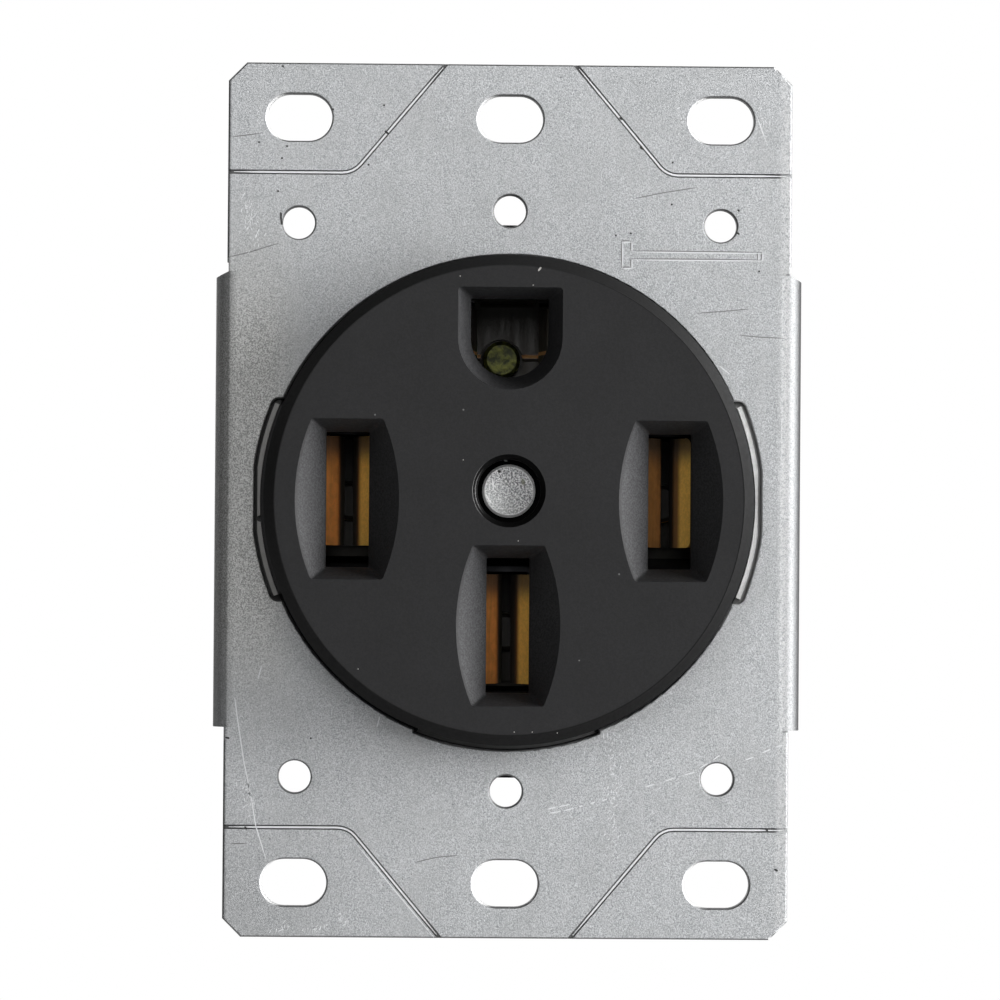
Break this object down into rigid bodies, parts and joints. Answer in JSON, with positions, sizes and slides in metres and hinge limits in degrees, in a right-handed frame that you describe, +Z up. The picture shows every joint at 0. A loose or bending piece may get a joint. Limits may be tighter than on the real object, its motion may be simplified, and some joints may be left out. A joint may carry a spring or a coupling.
{
  "type": "four prong receptacle",
  "caption": "Flush-mount receptacle on a steel strap: a round black cover with bevelled openings for hot, neutral and U-shaped ground prongs, and a screw-clamp base behind.",
  "frame": {"origin": "centre of the box screw slots, on the back of the mounting strap", "axes": "+X right as seen from the front, +Y into the wall box, +Z up"},
  "size_m": [0.064, 0.039, 0.0952],
  "materials": {
    "zinc_steel": "zinc plated, satin, slightly speckled",
    "tinned_steel": "bright plated, satin",
    "black_cover": "hard moulded plastic, satin",
    "dark_moulding": "hard moulded plastic, matt",
    "rivet_steel": "plated, dented and stained",
    "contact_brass": "rolled strip, slightly tarnished",
    "terminal_brass": "satin",
    "plate_steel": "zinc plated",
    "spring_steel": "satin",
    "brass_screw": "satin",
    "silver_screw": "nickel plated",
    "green_screw": "green dyed plating, mottled"
  },
  "bodies": {
    "root": {"strap": "zinc_steel", "bonding_yoke": "tinned_steel", "front_cover": "black_cover", "centre_rivet": "rivet_steel", "rear_base": "dark_moulding", "rear_cap": "dark_moulding", "hot_left_contact": "contact_brass", "hot_left_terminal_plate": "terminal_brass", "hot_left_pressure_plate": "plate_steel", "hot_left_clamp_screw": "brass_screw", "hot_left_spring_clip": "spring_steel", "hot_right_contact": "contact_brass", "hot_right_terminal_plate": "terminal_brass", "hot_right_pressure_plate": "plate_steel", "hot_right_clamp_screw": "brass_screw", "hot_right_spring_clip": "spring_steel", "neutral_contact": "contact_brass", "neutral_terminal_plate": "terminal_brass", "neutral_pressure_plate": "plate_steel", "neutral_clamp_screw": "silver_screw", "neutral_spring_clip": "spring_steel", "ground_contact": "contact_brass", "ground_terminal_plate": "terminal_brass", "ground_pressure_plate": "plate_steel", "ground_clamp_screw": "green_screw"}
  },
  "joints": []
}
